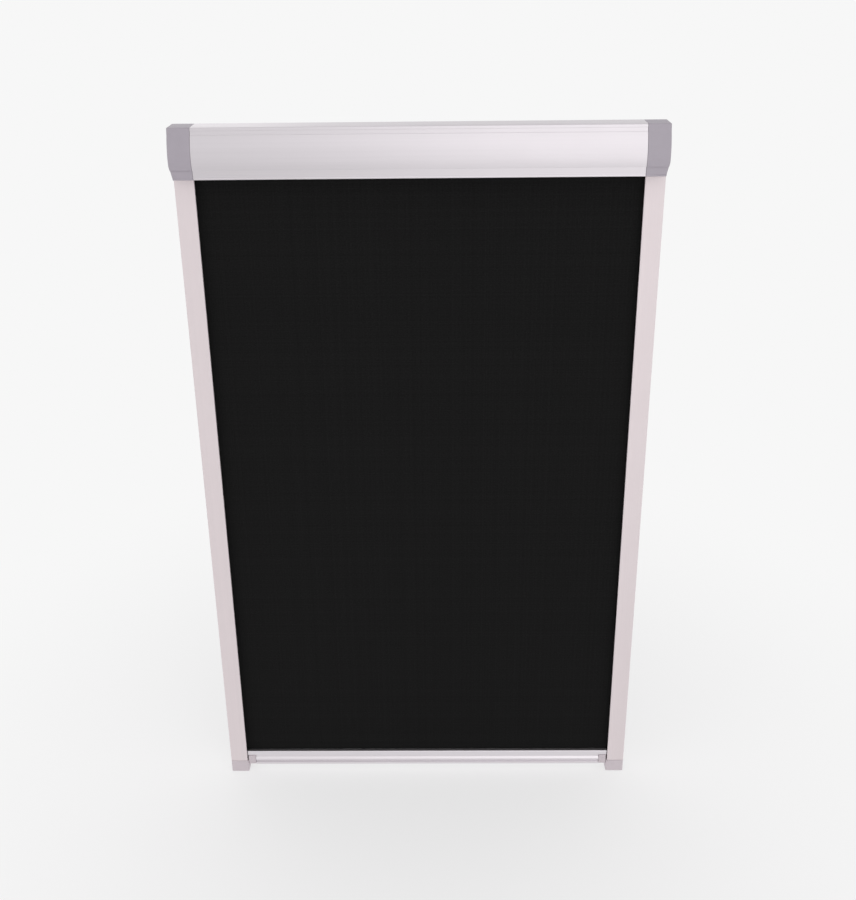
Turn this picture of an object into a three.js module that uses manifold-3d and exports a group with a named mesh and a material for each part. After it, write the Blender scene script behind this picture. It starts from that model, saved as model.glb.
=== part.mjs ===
// Roller blind for a roof window: a cassette with a spring roller, a blackout cloth that runs
// in two side channels, and a bottom bar that friction holds wherever it is put.
// Millimetres. X runs across the blind, Y from the room (-Y) to the glass (+Y) and Z up.
// The origin is the middle of the cassette's top face, in the plane of the cloth.
import * as THREE from "three";
import { mergeVertices } from "three/addons/utils/BufferGeometryUtils.js";
import Module from "manifold-3d";

const wasm = await Module();
wasm.setup();

// Whole blind
const width = 610;
const height = 984;
const seatGap = 0.3;
const runningGap = 0.4;
const overrun = 2;
const weldDistance = 0.0001;

// Cloth
const clothThickness = 0.4;
const clothInChannel = 14;

// Side channels
const channelFace = 25;
const channelFront = 10;
const backFace = 9;
const channelWall = 1.3;
const channelInCap = 8;
const fixingHoleRadius = 2.1;
const fixingHoleInset = 90;
const fixingHoleCount = 3;

// Pile strips and the slots that hold them
const pileBackingWidth = 4.8;
const pileBackingThickness = 0.8;
const pileWidth = 2.6;
const pileTipGap = 1.5;
const slotWall = 1;
const slotHook = 1;
const slotHookThickness = 0.9;

// Caps at the channels' lower ends
const footHeight = 19.6;
const footProud = 0.4;
const footReach = 26.5;
const footWall = 1.5;
const footRound = 1.2;
const tenonHeight = 14;
const tenonThickness = 2.6;
const tenonInset = 3;

// Cassette profile
const cassetteHeight = 62.5;
const cassetteWall = 1.4;
const topFront = 24.4;
const noseRadius = 2;
const browDrop = 9;
const browReach = 26;
const grooveDrop = 4;
const grooveDepth = 0.4;
const shoulderReach = 29;
const shoulderDrop = 15;
const bellyReach = 36.5;
const bellyDrop = 33;
const stepReach = 31.2;
const stepDrop = 50.3;
const stepDepth = 1.6;
const stripFootReach = 28.2;
const beadRadius = 1.2;
const beadProud = 0.6;
const slotFront = 3.5;
const slotBack = 4;
const upturnHeight = 4.5;
const upturnWall = 1.2;

// Clip joint between the cover and the back plate
const coverEdge = 16.7;
const tongueRoot = 20.5;
const tongueTip = 9.5;
const tongueThickness = 1.2;
const hookWall = 1.2;
const hookInner = 7.2;
const hookTip = 12.5;

// Screw ports along the extrusions, and the screws in them
const portFromFace = 4.9;
const portRadius = 3.7;
const portMouthDegrees = 70;
const portFromStrip = 5.4;
const screwRadius = 1.8;
const screwBore = 2.1;
const screwLength = 12;
const headRadius = 3.4;
const headHeight = 2.2;
const recessWidth = 0.9;
const recessLength = 3.8;
const recessDepth = 1.2;

// Cassette end caps
const capWidth = 28;
const capWall = 2.2;
const capEndWall = 4;
const capRound = 0.9;
const capTaperDrop = 44.5;
const capTaper = 3.2;
const wellFloor = 2;
const spigotLength = 10;
const spigotWall = 1.4;
const spigotRoot = 6;
const bossRadius = 7;
const bossLength = 3;

// Clips that hold the cassette to the sides of the recess
const clipThickness = 1.2;
const clipWidth = 22;
const clipHeight = 31.4;
const clipCorner = 3;
const clipTabWidth = 10;
const clipTabReach = 7;
const clipHoleRadius = 2.2;
const clipHoleSpacing = 20;
const clipHeadPocket = 4.6;
const clipHeadDepth = 2.6;

// Roller
const tubeRadius = 11;
const tubeWall = 1.2;
const tubeEndGap = 6.5;
const rollerDrop = 28;
const splineGrooveWidth = 4.2;
const splineGrooveDepth = 1.9;
const splineMouth = 1.4;
const splineWall = 1;
const restTurns = 2.25;
const plugFlange = 1.2;
const plugLength = 18;

// Spring drive inside the roller
const shaftSide = 5;
const shaftReach = 200;
const hubRadius = 4.9;
const hubLength = 12;
const anchorFlange = 2;
const anchorSetback = 4;
const springWire = 1;
const springCoils = 30;

// Idle end of the roller
const pinRadius = 2.5;
const pinCollarRadius = 4;
const bushWall = 1.7;

// Bottom bar profile
const barHeight = 23.2;
const barAboveFoot = 12.2;
const barBack = 4.2;
const barCorner = 0.8;
const ledgeReach = 7.2;
const ledgeHeight = 1.9;
const ledgeRound = 1.3;
const recessReach = 6.5;
const bandTop = 12.8;
const bandFoot = 5.3;
const bandReach = 9;
const lipTop = 4.4;
const lipReach = 9.2;
const lipRound = 1.1;
const lipSlope = 1.2;
const hemMouth = 1.4;
const hemPocketRadius = 2.4;
const hemPocketDrop = 4.7;
const hemSplineRadius = 1.9;
const chamberFront = 5;
const chamberBack = 2.8;
const chamberFoot = 1.8;
const chamberTop = 12.6;
const barEndGap = 0.7;
const notchHeight = 15.3;
const notchLength = 12.5;
const dockGap = 4;

// End shoes of the bottom bar and their brakes
const shoeFront = 8.4;
const shoeRound = 1.5;
const shoeGapAtFoot = 0.4;
const shoePlugLength = 15;
const neckThickness = 2.4;
const neckInset = 1;
const runnerOuterGap = 5;
const runnerLength = 11.5;
const runnerFront = 8.2;
const runnerBack = 5;
const padSide = 6.6;
const padThickness = 4.3;
const padCrown = 0.4;
const pocketDepth = 9;
const brakeWire = 0.7;
const brakeSpringRadius = 2.3;
const brakeCoils = 5;

// How finely curves are drawn
const roundSides = 32;
const smallSides = 16;
const coilSteps = 10;
const wireSides = 6;

// Places worked out from the sizes above
const halfWidth = width / 2;
const opening = halfWidth - channelFace;
const clothHalf = opening + clothInChannel;
const channelTop = -(cassetteHeight - channelInCap);
const channelFoot = -(height - footHeight);
const capInner = halfWidth - capWidth;
const profileEnd = capInner - seatGap;
const tubeHalf = halfWidth - capEndWall - tubeEndGap;
const firstWrap = tubeRadius + seatGap + clothThickness / 2;
const wrapPitch = clothThickness + seatGap;
const rollRadius = firstWrap + restTurns * wrapPitch;
const plugRadius = tubeRadius - tubeWall - seatGap;
const coreRadius = tubeRadius - tubeWall - splineGrooveDepth - splineWall - seatGap;
const plugEnd = tubeHalf + seatGap + plugFlange;
const barFoot = -(height - barAboveFoot);
const hemCentre = barHeight - hemPocketDrop;
const barHalf = opening - barEndGap;
const notchStart = barHalf - notchLength;
const portBack = { y: backFace - portFromFace, z: -portFromFace };
const portFront = { y: -(stripFootReach - portFromStrip), z: -(cassetteHeight - portFromFace) };

// Finishes
const finishes = {
  silverAluminium: { color: 0xd9d5d8, roughness: 0.42, metalness: 0.75 },
  greyPlastic: { color: 0xa3a0a8, roughness: 0.5, metalness: 0 },
  paleGreyPlastic: { color: 0xb6b5bf, roughness: 0.5, metalness: 0 },
  blackCloth: { color: 0x19191a, roughness: 0.95, metalness: 0 },
  millAluminium: { color: 0xb9bbbd, roughness: 0.38, metalness: 0.9 },
  steel: { color: 0x9a9da1, roughness: 0.3, metalness: 1 },
  nylon: { color: 0xe3e0d8, roughness: 0.55, metalness: 0 },
  greyPile: { color: 0x6f7075, roughness: 1, metalness: 0 },
};

const blind = new THREE.Group();

// Points and outlines

function radians(degrees) {
  return (degrees * Math.PI) / 180;
}

function outline(points, holes = []) {
  const shape = new THREE.Shape(points.map(([a, b]) => new THREE.Vector2(a, b)));
  shape.holes = holes.map((hole) => new THREE.Path(hole.map(([a, b]) => new THREE.Vector2(a, b))));
  return shape;
}

function arc(a, b, radius, fromDegrees, toDegrees, steps) {
  const points = [];
  for (let step = 0; step <= steps; step += 1) {
    const angle = radians(fromDegrees + ((toDegrees - fromDegrees) * step) / steps);
    points.push([a + radius * Math.cos(angle), b + radius * Math.sin(angle)]);
  }
  return points;
}

function circle(a, b, radius, sides) {
  return arc(a, b, radius, 0, 360, sides).slice(0, -1);
}

function rectangle(a0, a1, b0, b1) {
  return [[a0, b0], [a1, b0], [a1, b1], [a0, b1]];
}

function roundedRectangle(a0, a1, b0, b1, radius) {
  const steps = 4;
  return [
    ...arc(a1 - radius, b1 - radius, radius, 0, 90, steps),
    ...arc(a0 + radius, b1 - radius, radius, 90, 180, steps),
    ...arc(a0 + radius, b0 + radius, radius, 180, 270, steps),
    ...arc(a1 - radius, b0 + radius, radius, 270, 360, steps),
  ];
}

// Moves an open path to its left by a distance, with mitred corners.
function shifted(points, distance) {
  const heading = (from, to) => {
    const length = Math.hypot(to[0] - from[0], to[1] - from[1]);
    return [(to[0] - from[0]) / length, (to[1] - from[1]) / length];
  };
  return points.map((point, i) => {
    const before = i > 0 ? heading(points[i - 1], point) : heading(point, points[i + 1]);
    const after = i < points.length - 1 ? heading(point, points[i + 1]) : before;
    const stretch = distance / (1 + before[0] * after[0] + before[1] * after[1]);
    return [point[0] - (before[1] + after[1]) * stretch, point[1] + (before[0] + after[0]) * stretch];
  });
}

// Solids

function enclosedVolume(geometry) {
  const corner = [new THREE.Vector3(), new THREE.Vector3(), new THREE.Vector3()];
  let total = 0;
  for (let i = 0; i < geometry.index.count; i += 3) {
    corner.forEach((c, k) => c.fromBufferAttribute(geometry.attributes.position, geometry.index.getX(i + k)));
    total += corner[0].dot(corner[1].clone().cross(corner[2]));
  }
  return total / 6;
}

// Shares the vertices of a geometry, drops triangles without area and turns its faces outwards.
function closed(geometry) {
  const bare = geometry.clone();
  bare.deleteAttribute("normal");
  bare.deleteAttribute("uv");
  const welded = mergeVertices(bare, weldDistance);
  const kept = [];
  for (let i = 0; i < welded.index.count; i += 3) {
    const corners = [welded.index.getX(i), welded.index.getX(i + 1), welded.index.getX(i + 2)];
    if (new Set(corners).size === corners.length) kept.push(...corners);
  }
  welded.setIndex(kept);
  if (enclosedVolume(welded) < 0) welded.setIndex(kept.reverse());
  return welded;
}

function solid(geometry) {
  const welded = closed(geometry);
  const vertProperties = new Float32Array(welded.attributes.position.array);
  const triVerts = new Uint32Array(welded.index.array);
  return new wasm.Manifold(new wasm.Mesh({ numProp: 3, vertProperties, triVerts }));
}

function surface(manifold) {
  const mesh = manifold.getMesh();
  const geometry = new THREE.BufferGeometry();
  geometry.setAttribute("position", new THREE.BufferAttribute(mesh.vertProperties, 3));
  geometry.setIndex(new THREE.BufferAttribute(mesh.triVerts, 1));
  return geometry;
}

function join(first, ...rest) {
  return surface(rest.reduce((whole, geometry) => whole.add(solid(geometry)), solid(first)));
}

function cut(first, ...tools) {
  return surface(tools.reduce((whole, tool) => whole.subtract(solid(tool)), solid(first)));
}

function extruded(shape, length) {
  return new THREE.ExtrudeGeometry(shape, { depth: length, bevelEnabled: false });
}

// Outlines for these hold [y, z] points, and the solid runs along X.
const acrossX = new THREE.Matrix4().makeBasis(
  new THREE.Vector3(0, 1, 0), new THREE.Vector3(0, 0, 1), new THREE.Vector3(1, 0, 0),
);

function alongX(shape, from, to) {
  return extruded(shape, to - from).applyMatrix4(acrossX).translate(from, 0, 0);
}

function roundedAlongX(shape, from, to, round) {
  const settings = { depth: to - from - 2 * round, bevelSegments: 3, bevelSize: round };
  const geometry = new THREE.ExtrudeGeometry(shape, { ...settings, bevelThickness: round, bevelOffset: -round });
  return geometry.applyMatrix4(acrossX).translate(from + round, 0, 0);
}

// Outlines for this hold [x, y] points.
function alongZ(shape, from, to) {
  return extruded(shape, to - from).translate(0, 0, from);
}

function rodX(y, z, radius, from, to, sides = roundSides) {
  return alongX(outline(circle(y, z, radius, sides)), from, to);
}

function block(x0, x1, y0, y1, z0, z1) {
  const geometry = new THREE.BoxGeometry(Math.abs(x1 - x0), y1 - y0, z1 - z0);
  return geometry.translate((x0 + x1) / 2, (y0 + y1) / 2, (z0 + z1) / 2);
}

function mirrored(geometry, side) {
  return side < 0 ? closed(geometry.clone().scale(-1, 1, 1)) : geometry;
}

class Helix extends THREE.Curve {
  constructor(radius, length, coils) {
    super();
    this.radius = radius;
    this.length = length;
    this.coils = coils;
  }

  getPoint(share) {
    const angle = share * this.coils * 2 * Math.PI;
    const round = new THREE.Vector2(Math.cos(angle), Math.sin(angle)).multiplyScalar(this.radius);
    return new THREE.Vector3(share * this.length, round.x, round.y);
  }
}

// A coil spring about the local X axis, from X = 0 to its length.
function coilSpring(meanRadius, wire, length, coils) {
  const path = new Helix(meanRadius, length - wire, coils);
  const section = outline(circle(0, 0, wire / 2, wireSides));
  return new THREE.ExtrudeGeometry(section, { steps: coils * coilSteps, extrudePath: path }).translate(wire / 2, 0, 0);
}

function add(parent, name, geometry, finish, position = [0, 0, 0], turn = [0, 0, 0]) {
  const mesh = new THREE.Mesh(closed(geometry), new THREE.MeshStandardMaterial(finish));
  mesh.name = name;
  mesh.position.set(...position);
  mesh.rotation.set(...turn);
  parent.add(mesh);
}

function group(position) {
  const part = new THREE.Group();
  part.position.set(...position);
  blind.add(part);
  return part;
}

const sides = [["left", -1], ["right", 1]];

// Cassette

function belly() {
  const curve = new THREE.CubicBezierCurve(
    new THREE.Vector2(-browReach, -browDrop),
    new THREE.Vector2(-shoulderReach, -shoulderDrop),
    new THREE.Vector2(-bellyReach, -bellyDrop),
    new THREE.Vector2(-stepReach, -stepDrop),
  );
  return curve.getPoints(16).map((point) => [point.x, point.y]);
}

// The outer face from the top edge over the nose, the belly and the step to the bead at the foot.
function cassetteFront(grooved) {
  const grooveReach = topFront + ((browReach - topFront) * (grooveDrop - noseRadius)) / (browDrop - noseRadius);
  const groove = [
    [-grooveReach, -grooveDrop],
    [-grooveReach + grooveDepth, -grooveDrop],
    [-browReach + grooveDepth, -browDrop],
  ];
  const beadCentre = -(cassetteHeight - beadRadius);
  return [
    ...arc(-(topFront - noseRadius), -noseRadius, noseRadius, 90, 180, 4),
    ...(grooved ? groove : []),
    ...belly(),
    [-(stepReach - stepDepth), -stepDrop],
    [-stripFootReach, beadCentre + beadRadius],
    ...arc(-(stripFootReach + beadProud - beadRadius), beadCentre, beadRadius, 150, 270, 4),
  ];
}

// The same face, moved inwards by a wall and without its small features.
function cassetteLining(inset) {
  const strip = stepReach - stepDepth - inset;
  return [
    [-(topFront - inset), -inset],
    [-(browReach - inset), -(browDrop + inset)],
    ...shifted(belly(), inset).slice(1, -1),
    [-strip, -(stepDrop - inset)],
    [-(stripFootReach - inset), -(cassetteHeight - inset)],
  ];
}

function cassetteOutline(inset) {
  const back = backFace - inset;
  const front = inset > 0 ? cassetteLining(inset) : cassetteFront(false);
  return [[back, -inset], ...front, [back, -(cassetteHeight - inset)]];
}

// A screw port: an open ring that a thread-forming screw grips.
function screwPort(port, mouthDegrees) {
  const from = mouthDegrees + portMouthDegrees / 2;
  const to = mouthDegrees + 360 - portMouthDegrees / 2;
  const ring = [
    ...arc(port.y, port.z, portRadius, from, to, smallSides),
    ...arc(port.y, port.z, screwBore, to, from, smallSides),
  ];
  return alongX(outline(ring), -profileEnd, profileEnd);
}

function cassetteCover() {
  const tongueTop = -(cassetteWall + seatGap);
  const tongueFoot = tongueTop - tongueThickness;
  const floor = -(cassetteHeight - cassetteWall);
  const section = [
    [-coverEdge, 0],
    ...cassetteFront(true),
    [-slotFront, -cassetteHeight],
    [-slotFront, floor + upturnHeight],
    [-(slotFront + upturnWall), floor + upturnHeight],
    [-(slotFront + upturnWall), floor],
    ...cassetteLining(cassetteWall).reverse(),
    [-tongueRoot, -cassetteWall],
    [-tongueRoot, tongueFoot],
    [-tongueTip, tongueFoot],
    [-tongueTip, tongueTop],
    [-coverEdge, tongueTop],
  ];
  return join(alongX(outline(section), -profileEnd, profileEnd), screwPort(portFront, 45));
}

function cassetteBackPlate() {
  const edge = coverEdge - seatGap;
  const inner = backFace - cassetteWall;
  const floor = -(cassetteHeight - cassetteWall);
  const hookTop = -(cassetteWall + seatGap + tongueThickness + seatGap);
  const section = [
    [-edge, 0],
    [backFace, 0],
    [backFace, -cassetteHeight],
    [slotBack, -cassetteHeight],
    [slotBack, floor],
    [inner, floor],
    [inner, -cassetteWall],
    [-hookInner, -cassetteWall],
    [-hookInner, hookTop - hookWall],
    [-hookTip, hookTop - hookWall],
    [-hookTip, hookTop],
    [-(hookInner + hookWall), hookTop],
    [-(hookInner + hookWall), -cassetteWall],
    [-edge, -cassetteWall],
  ];
  return join(alongX(outline(section), -profileEnd, profileEnd), screwPort(portBack, 225));
}

// Sizes of the end wall's recess for the clip, round the roller's axis.
const rollerY = -rollRadius;
const rollerZ = -rollerDrop;
const clipY = [rollerY - clipWidth / 2, rollerY + clipWidth / 2];
const clipZ = [rollerZ - clipHeight / 2, rollerZ + clipHeight / 2];
const clipHoles = [-1, 1].map((way) => rollerZ + (way * clipHoleSpacing) / 2);

function clipRecess() {
  const floor = halfWidth - clipThickness - seatGap;
  const area = outline(rectangle(clipY[0] - seatGap, clipY[1] + seatGap, clipZ[0] - seatGap, clipZ[1] + seatGap));
  const pocket = halfWidth - clipHeadDepth;
  const tab = block(
    halfWidth - capEndWall - overrun, halfWidth,
    rollerY - clipTabWidth / 2 - seatGap, rollerY + clipTabWidth / 2 + seatGap,
    clipZ[1] - clipThickness - seatGap, clipZ[1] + seatGap,
  );
  return [
    alongX(area, floor, halfWidth + overrun),
    ...clipHoles.map((z) => rodX(rollerY, z, clipHeadPocket, pocket, halfWidth + overrun, smallSides)),
    tab,
  ];
}

// What the channel's upper end and the cloth need at the foot of a cap.
function channelPocket() {
  const top = channelTop + seatGap;
  const inner = opening - seatGap;
  const below = -cassetteHeight - overrun;
  return [
    block(inner, halfWidth + overrun, -(channelFront + seatGap), backFace + overrun, below, top),
    block(capInner - spigotLength - overrun, inner + overrun, -slotFront, slotBack, below, top),
  ];
}

// The spigot inside the extrusions: a ring with room for the clip joint and the screw ports.
function capSpigot() {
  const ring = outline(
    cassetteOutline(cassetteWall + seatGap),
    [cassetteOutline(cassetteWall + seatGap + spigotWall)],
  );
  const from = capInner - spigotLength;
  const start = from - overrun;
  const jointFoot = -(cassetteWall + tongueThickness + hookWall + 3 * seatGap);
  const slotTop = -(cassetteHeight - cassetteWall - upturnHeight - seatGap);
  const reach = portRadius + seatGap;
  return cut(
    alongX(ring, from, capInner + spigotRoot),
    block(start, capInner, -(tongueRoot + seatGap), -(hookInner - seatGap), jointFoot, 0),
    block(start, capInner, portBack.y - reach, backFace, portBack.z - reach, 0),
    block(start, capInner, -stepReach, portFront.y + reach, -cassetteHeight, portFront.z + reach),
    block(start, capInner, -(slotFront + upturnWall + seatGap), backFace, -cassetteHeight, slotTop),
  );
}

// What the cap's end face loses below the clip, where it draws in towards the foot.
function capDraft() {
  const outer = halfWidth + overrun;
  const foot = -(cassetteHeight + overrun);
  const fullTaper = (capTaper * (cassetteHeight + overrun - capTaperDrop)) / (cassetteHeight - capTaperDrop);
  const face = [[halfWidth, -capTaperDrop], [halfWidth - fullTaper, foot], [outer, foot], [outer, -capTaperDrop]];
  const depth = bellyReach + backFace + 2 * overrun;
  return extruded(outline(face), depth).rotateX(radians(90)).translate(0, backFace + overrun, 0);
}

// The moulded cap at the right end of the cassette, with a seat for the roller's bearing.
function endCap(seat) {
  const endWall = halfWidth - capEndWall;
  const shell = roundedAlongX(outline(cassetteOutline(0)), capInner - overrun, halfWidth, capRound);
  const trim = block(capInner - 2 * overrun, capInner, -bellyReach, backFace + overrun, -height, overrun);
  const cavity = alongX(outline(cassetteOutline(capWall)), capInner - overrun, endWall);
  const ports = [portBack, portFront];
  const wells = ports.map((port) => rodX(port.y, port.z, portFromFace, capInner, halfWidth - capRound));
  const boss = rodX(rollerY, rollerZ, bossRadius, endWall - bossLength, endWall + capRound);
  const housing = join(cut(shell, trim, cavity), capSpigot(), ...wells, boss);
  return cut(
    housing,
    ...ports.map((port) => (
      rodX(port.y, port.z, headRadius + runningGap, capInner + wellFloor, halfWidth + overrun, smallSides)
    )),
    ...ports.map((port) => rodX(port.y, port.z, screwRadius + seatGap, capInner - overrun, halfWidth, smallSides)),
    seat,
    capDraft(),
    ...clipRecess(),
    ...channelPocket(),
  );
}

// A pan-head screw along X, its head's seat at X = 0 and its tip at minus its length.
function capScrew() {
  const crown = headHeight / 2;
  const profile = [
    [0, -screwLength],
    [screwRadius / 2, -screwLength],
    [screwRadius, -(screwLength - screwRadius)],
    [screwRadius, 0],
    [headRadius, 0],
    [headRadius, crown],
    [(headRadius * 3) / 4, headHeight - crown / 4],
    [0, headHeight],
  ];
  const points = profile.map(([radius, along]) => new THREE.Vector2(radius, along));
  const body = new THREE.LatheGeometry(points, smallSides).rotateZ(radians(-90));
  const floor = headHeight - recessDepth;
  const half = recessLength / 2;
  const slit = recessWidth / 2;
  return cut(
    body,
    block(floor, headHeight + overrun, -half, half, -slit, slit),
    block(floor, headHeight + overrun, -slit, slit, -half, half),
  );
}

// A sheet-steel clip: a plate for two wood screws, with a tab that the cap hooks on.
function mountingClip() {
  const holes = clipHoles.map((z) => circle(rollerY, z, clipHoleRadius, smallSides));
  const area = outline(roundedRectangle(clipY[0], clipY[1], clipZ[0], clipZ[1], clipCorner), holes);
  const plate = alongX(area, halfWidth - clipThickness, halfWidth);
  const tab = block(
    halfWidth - clipTabReach, halfWidth - clipThickness / 2,
    rollerY - clipTabWidth / 2, rollerY + clipTabWidth / 2,
    clipZ[1] - clipThickness, clipZ[1],
  );
  return join(plate, tab);
}

function buildCassette() {
  const seatFrom = halfWidth - capEndWall - bossLength - overrun;
  const seatTo = halfWidth - capEndWall;
  const half = shaftSide / 2 + seatGap;
  const square = outline(rectangle(rollerY - half, rollerY + half, rollerZ - half, rollerZ + half));
  const seats = {
    left: alongX(square, seatFrom, seatTo),
    right: rodX(rollerY, rollerZ, pinRadius + bushWall + 2 * seatGap, seatFrom, seatTo),
  };
  add(blind, "cassette_cover", cassetteCover(), finishes.silverAluminium);
  add(blind, "cassette_back_plate", cassetteBackPlate(), finishes.silverAluminium);
  for (const [name, side] of sides) {
    add(blind, `end_cap_${name}`, mirrored(endCap(seats[name]), side), finishes.greyPlastic);
    add(blind, `mounting_clip_${name}`, mirrored(mountingClip(), side), finishes.steel);
    const seat = side * (capInner + wellFloor + seatGap);
    const turn = side < 0 ? [0, 0, Math.PI] : [0, 0, 0];
    add(blind, `end_cap_screw_${name}_upper`, capScrew(), finishes.steel, [seat, portBack.y, portBack.z], turn);
    add(blind, `end_cap_screw_${name}_lower`, capScrew(), finishes.steel, [seat, portFront.y, portFront.z], turn);
  }
}

// Roller, built about the local X axis

function rollerTube() {
  const inner = tubeRadius - tubeWall;
  const mouth = (Math.asin(splineMouth / 2 / tubeRadius) * 180) / Math.PI;
  const half = splineGrooveWidth / 2;
  const floor = inner - splineGrooveDepth;
  const shoulder = (Math.asin((half + splineWall) / inner) * 180) / Math.PI;
  const section = [
    ...arc(0, 0, tubeRadius, 90 + mouth, 450 - mouth, roundSides),
    [splineMouth / 2, inner],
    [half, inner],
    [half, floor],
    [-half, floor],
    [-half, inner],
    [-splineMouth / 2, inner],
  ];
  const bore = [
    ...arc(0, 0, inner, 90 + shoulder, 450 - shoulder, roundSides),
    [half + splineWall, floor - splineWall],
    [-(half + splineWall), floor - splineWall],
  ];
  return alongX(outline(section, [bore]), -tubeHalf, tubeHalf);
}

function rollerSpline() {
  const inner = tubeRadius - tubeWall;
  const half = splineGrooveWidth / 2 - seatGap;
  const strip = roundedRectangle(-half, half, inner - splineGrooveDepth + seatGap, inner - seatGap, seatGap);
  return alongX(outline(strip), -clothHalf, clothHalf);
}

// The cloth on the roller: a spiral from the spline groove out to where the cloth drops away.
function clothRoll() {
  const steps = 64;
  const side = (offset) => {
    const points = [];
    for (let step = 0; step <= steps; step += 1) {
      const turns = (restTurns * step) / steps;
      const radius = rollRadius - turns * wrapPitch + offset;
      points.push([radius * Math.cos(turns * 2 * Math.PI), radius * Math.sin(turns * 2 * Math.PI)]);
    }
    return points;
  };
  const strip = [...side(clothThickness / 2), ...side(-clothThickness / 2).reverse()];
  return alongX(outline(strip), -clothHalf, clothHalf);
}

// A plug in the tube's end, keyed to the spline groove, with a flange outside and a hub inside.
function tubePlug(bore, hub) {
  const half = splineGrooveWidth / 2 + splineWall + seatGap;
  const edge = (Math.asin(half / plugRadius) * 180) / Math.PI;
  const keyed = [
    ...arc(0, 0, plugRadius, 90 + edge, 450 - edge, roundSides),
    [half, coreRadius],
    [-half, coreRadius],
  ];
  const end = tubeHalf + seatGap;
  const inner = end - plugLength;
  const parts = [
    alongX(outline(keyed), inner, end),
    rodX(0, 0, tubeRadius, end, end + plugFlange),
    ...(hub ? [rodX(0, 0, hubRadius, inner - hubLength, inner)] : []),
  ];
  return cut(join(...parts), rodX(0, 0, bore, inner - hubLength - overrun, end + plugFlange + overrun, smallSides));
}

function springShaft() {
  const half = shaftSide / 2;
  const end = halfWidth - capEndWall - seatGap;
  return alongX(outline(rectangle(-half, half, -half, half)), -end, -(end - shaftReach));
}

const shaftEnd = halfWidth - capEndWall - seatGap - shaftReach;
const anchorEnd = shaftEnd + anchorSetback;
const hubStart = tubeHalf + seatGap - plugLength;

function springAnchor() {
  const half = shaftSide / 2 + seatGap;
  const flange = anchorEnd + anchorFlange;
  const body = join(
    rodX(0, 0, coreRadius, -flange, -anchorEnd),
    rodX(0, 0, hubRadius, -(flange + hubLength), -flange),
  );
  const square = outline(rectangle(-half, half, -half, half));
  return cut(body, alongX(square, -(flange + hubLength + overrun), -(anchorEnd - overrun)));
}

function torsionSpring() {
  const from = hubStart - seatGap;
  const to = anchorEnd + anchorFlange + seatGap;
  const meanRadius = hubRadius + 2 * seatGap + springWire / 2;
  return coilSpring(meanRadius, springWire, from - to, springCoils).translate(-from, 0, 0);
}

function idlePin() {
  const bossFace = halfWidth - capEndWall - bossLength;
  return join(
    rodX(0, 0, pinRadius, hubStart, halfWidth - capEndWall - seatGap),
    rodX(0, 0, pinCollarRadius, plugEnd + seatGap, bossFace - seatGap),
  );
}

function idleBush() {
  const bossFace = halfWidth - capEndWall - bossLength;
  const radius = pinRadius + seatGap;
  const ring = outline(circle(0, 0, radius + bushWall, roundSides), [circle(0, 0, radius, roundSides)]);
  return alongX(ring, bossFace, halfWidth - capEndWall - seatGap);
}

function buildRoller() {
  const axis = group([0, rollerY, rollerZ]);
  const shaftBore = shaftSide * Math.SQRT1_2 + runningGap;
  add(axis, "roller_tube", rollerTube(), finishes.millAluminium);
  add(axis, "roller_spline", rollerSpline(), finishes.nylon);
  add(axis, "cloth_roll", clothRoll(), finishes.blackCloth);
  add(axis, "spring_drive_plug", mirrored(tubePlug(shaftBore, true), -1), finishes.nylon);
  add(axis, "idle_plug", tubePlug(pinRadius + seatGap, false), finishes.nylon);
  add(axis, "idle_pin", idlePin(), finishes.steel);
  add(axis, "idle_bush", idleBush(), finishes.nylon);
  add(axis, "spring_shaft", springShaft(), finishes.steel);
  add(axis, "spring_anchor", springAnchor(), finishes.nylon);
  add(axis, "torsion_spring", torsionSpring(), finishes.steel);
}

function buildCloth() {
  const top = rollerZ - seatGap;
  const foot = barFoot + hemCentre + hemSplineRadius + seatGap;
  const half = clothThickness / 2;
  add(blind, "cloth_panel", block(-clothHalf, clothHalf, -half, half, foot, top), finishes.blackCloth);
}

// Side channels

// One flange with its pile slot, from the inner edge to the web, as [reach from the jamb, y] points.
function flange(face, way) {
  const skin = way * (face - channelWall);
  const slotDepth = pileBackingThickness + 2 * seatGap;
  const hookTop = skin - way * slotDepth;
  const hookEdge = hookTop - way * slotHookThickness;
  const slotInner = channelFace - slotWall;
  const slotOuter = slotInner - pileBackingWidth - 2 * seatGap;
  return [
    [channelFace, way * face],
    [channelFace, hookEdge],
    [slotInner - slotHook, hookEdge],
    [slotInner - slotHook, hookTop],
    [slotInner, hookTop],
    [slotInner, skin],
    [slotOuter, skin],
    [slotOuter, hookTop],
    [slotOuter + slotHook, hookTop],
    [slotOuter + slotHook, hookEdge],
    [slotOuter - slotWall, hookEdge],
    [slotOuter - slotWall, skin],
    [channelWall, skin],
  ];
}

function sideChannel() {
  const section = [
    [0, -channelFront],
    ...flange(channelFront, -1),
    ...flange(backFace, 1).reverse(),
    [0, backFace],
  ];
  const web = outline(section.map(([reach, y]) => [halfWidth - reach, y]));
  const length = channelTop - channelFoot;
  const spacing = (length - 2 * fixingHoleInset) / (fixingHoleCount - 1);
  const holes = [];
  for (let i = 0; i < fixingHoleCount; i += 1) {
    const z = channelFoot + fixingHoleInset + i * spacing;
    holes.push(rodX(0, z, fixingHoleRadius, halfWidth - channelWall - overrun, halfWidth + overrun, smallSides));
  }
  return cut(alongZ(web, channelFoot, channelTop), ...holes);
}

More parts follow.
